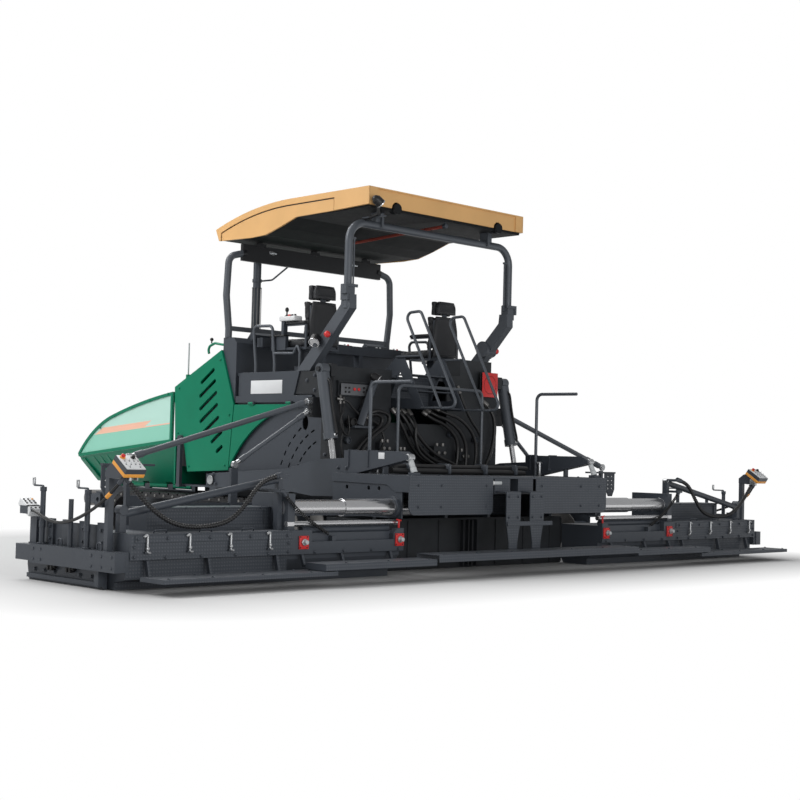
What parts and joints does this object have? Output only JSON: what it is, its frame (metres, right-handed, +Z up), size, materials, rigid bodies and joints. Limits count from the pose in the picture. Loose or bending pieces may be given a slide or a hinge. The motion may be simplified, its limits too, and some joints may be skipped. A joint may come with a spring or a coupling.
{
  "type": "crawler asphalt paver with extended screed",
  "caption": "Crawler asphalt paver: folding hopper, roofed operator platform, auger and a floating screed with sliding extensions.",
  "frame": {"origin": "on the ground below the middle of the overall box", "axes": "+X to the machine's right, +Y the way it drives, +Z up"},
  "size_m": [9.26, 6.9, 3.768],
  "materials": {
    "graphite_paint": "satin dark grey paint",
    "green_paint": "gloss green paint",
    "mint_paint": "gloss pale green and green paint",
    "orange_shell": "satin orange-tan moulded shell",
    "dark_liner": "textured dark moulding",
    "seat_vinyl": "matt dark vinyl",
    "track_steel": "worn dark steel and rubber pads",
    "bare_steel": "bright worn steel",
    "chrome": "polished chrome",
    "black_rubber": "matt black rubber"
  },
  "bodies": {
    "tractor": {"brace_rods": "graphite_paint", "canopy_liner": "dark_liner", "canopy_roof": "orange_shell", "console_desk": "graphite_paint", "conveyor": "bare_steel", "engine": "graphite_paint", "engine_hood": "green_paint", "exhaust_stack": "graphite_paint", "front_console": "graphite_paint", "front_hoop": "graphite_paint", "handrails": "graphite_paint", "limit_plates": "graphite_paint", "main_frame": "graphite_paint", "platform": "graphite_paint", "push_bar": "graphite_paint", "rear_bulkhead": "graphite_paint", "rear_hoop": "graphite_paint", "seat_frames": "graphite_paint", "seat_pads": "seat_vinyl", "side_covers": "graphite_paint", "side_panels": "green_paint", "stairs": "graphite_paint", "track_frames": "graphite_paint", "tracks": "track_steel"},
    "side_door_left": {"side_door_left": "green_paint"},
    "hopper_wing_left": {"hopper_wing_left": "mint_paint"},
    "push_roller_left": {"push_roller_left": "bare_steel"},
    "auger_left": {"auger_left": "bare_steel"},
    "lift_barrel_left": {"lift_barrel_left": "graphite_paint"},
    "lift_rod_left": {"lift_rod_left": "chrome"},
    "tube_sleeve_left": {"tube_sleeve_left": "chrome"},
    "extension_left": {"extension_frame_left": "graphite_paint", "extension_box_left": "graphite_paint", "end_gate_left": "graphite_paint", "controls_left": "graphite_paint", "footboard_left": "graphite_paint", "cord_conduit_left": "black_rubber", "cord_lever_left": "black_rubber", "cord_gate_left": "black_rubber"},
    "side_door_right": {"side_door_right": "green_paint"},
    "hopper_wing_right": {"hopper_wing_right": "mint_paint"},
    "push_roller_right": {"push_roller_right": "bare_steel"},
    "auger_right": {"auger_right": "bare_steel"},
    "lift_barrel_right": {"lift_barrel_right": "graphite_paint"},
    "lift_rod_right": {"lift_rod_right": "chrome"},
    "tube_sleeve_right": {"tube_sleeve_right": "chrome"},
    "extension_right": {"extension_frame_right": "graphite_paint", "extension_box_right": "graphite_paint", "end_gate_right": "graphite_paint", "controls_right": "graphite_paint", "footboard_right": "graphite_paint", "cord_conduit_right": "black_rubber", "cord_lever_right": "black_rubber", "cord_gate_right": "black_rubber"},
    "hopper_apron": {"hopper_apron": "black_rubber"},
    "screed": {"tow_arms": "graphite_paint", "screed_box": "graphite_paint", "screed_deck": "graphite_paint", "screed_walkway": "graphite_paint", "screed_rails": "graphite_paint"}
  },
  "joints": [
    {"name": "screed_lift", "type": "hinge", "parent": "tractor", "child": "screed", "pos_m": [0, 0.017, 0.8], "axis": [-1, 0, 0], "range_deg": [0, 4.5]},
    {"name": "wing_fold_left", "type": "hinge", "parent": "tractor", "child": "hopper_wing_left", "pos_m": [-0.9, 1.9, 0.69], "axis": [0, -1, 0], "range_deg": [0, 45]},
    {"name": "door_swing_left", "type": "hinge", "parent": "tractor", "child": "side_door_left", "pos_m": [-1.262, -0.6, 1.624], "axis": [0, 1, 0], "range_deg": [0, 80]},
    {"name": "push_roller_spin_left", "type": "hinge", "parent": "tractor", "child": "push_roller_left", "pos_m": [-0.455, 3.35, 0.48], "axis": [1, 0, 0], "continuous": true},
    {"name": "auger_spin_left", "type": "hinge", "parent": "tractor", "child": "auger_left", "pos_m": [-1.5, -1.653, 0.34], "axis": [1, 0, 0], "continuous": true},
    {"name": "extension_slide_left", "type": "slide", "parent": "screed", "child": "extension_left", "axis": [1, 0, 0], "range_m": [0, 1.25]},
    {"name": "sleeve_slide_left", "type": "slide", "parent": "screed", "child": "tube_sleeve_left", "axis": [1, 0, 0], "range_m": [0, 0.626]},
    {"name": "lift_barrel_turn_left", "type": "hinge", "parent": "tractor", "child": "lift_barrel_left", "pos_m": [-1.355, -1.653, 1.95], "axis": [1, 0, 0], "range_deg": [-0.9126, 0]},
    {"name": "lift_rod_slide_left", "type": "slide", "parent": "lift_barrel_left", "child": "lift_rod_left", "axis": [0, 0.2141, 0.9768], "range_m": [0, 0.14944]},
    {"name": "wing_fold_right", "type": "hinge", "parent": "tractor", "child": "hopper_wing_right", "pos_m": [0.9, 1.9, 0.69], "axis": [0, 1, 0], "range_deg": [0, 45]},
    {"name": "door_swing_right", "type": "hinge", "parent": "tractor", "child": "side_door_right", "pos_m": [1.262, -0.6, 1.624], "axis": [0, -1, 0], "range_deg": [0, 80]},
    {"name": "push_roller_spin_right", "type": "hinge", "parent": "tractor", "child": "push_roller_right", "pos_m": [0.455, 3.35, 0.48], "axis": [1, 0, 0], "continuous": true},
    {"name": "auger_spin_right", "type": "hinge", "parent": "tractor", "child": "auger_right", "pos_m": [1.5, -1.653, 0.34], "axis": [1, 0, 0], "continuous": true},
    {"name": "extension_slide_right", "type": "slide", "parent": "screed", "child": "extension_right", "axis": [-1, 0, 0], "range_m": [0, 1.25]},
    {"name": "sleeve_slide_right", "type": "slide", "parent": "screed", "child": "tube_sleeve_right", "axis": [-1, 0, 0], "range_m": [0, 0.626]},
    {"name": "lift_barrel_turn_right", "type": "hinge", "parent": "tractor", "child": "lift_barrel_right", "pos_m": [1.355, -1.653, 1.95], "axis": [1, 0, 0], "range_deg": [-0.9126, 0]},
    {"name": "lift_rod_slide_right", "type": "slide", "parent": "lift_barrel_right", "child": "lift_rod_right", "axis": [0, 0.2141, 0.9768], "range_m": [0, 0.14944]},
    {"name": "apron_fold", "type": "hinge", "parent": "tractor", "child": "hopper_apron", "pos_m": [0, 2.87, 0.655], "axis": [-1, 0, 0], "range_deg": [0, 70]}
  ],
  "couplings": [
    {"joint": "sleeve_slide_left", "follows": "extension_slide_left", "ratio": 0.5},
    {"joint": "lift_barrel_turn_left", "follows": "screed_lift", "ratio": -0.20079},
    {"joint": "lift_rod_slide_left", "follows": "screed_lift", "m_per_rad": 1.8839},
    {"joint": "sleeve_slide_right", "follows": "extension_slide_right", "ratio": 0.5},
    {"joint": "lift_barrel_turn_right", "follows": "screed_lift", "ratio": -0.20079},
    {"joint": "lift_rod_slide_right", "follows": "screed_lift", "m_per_rad": 1.8839}
  ]
}
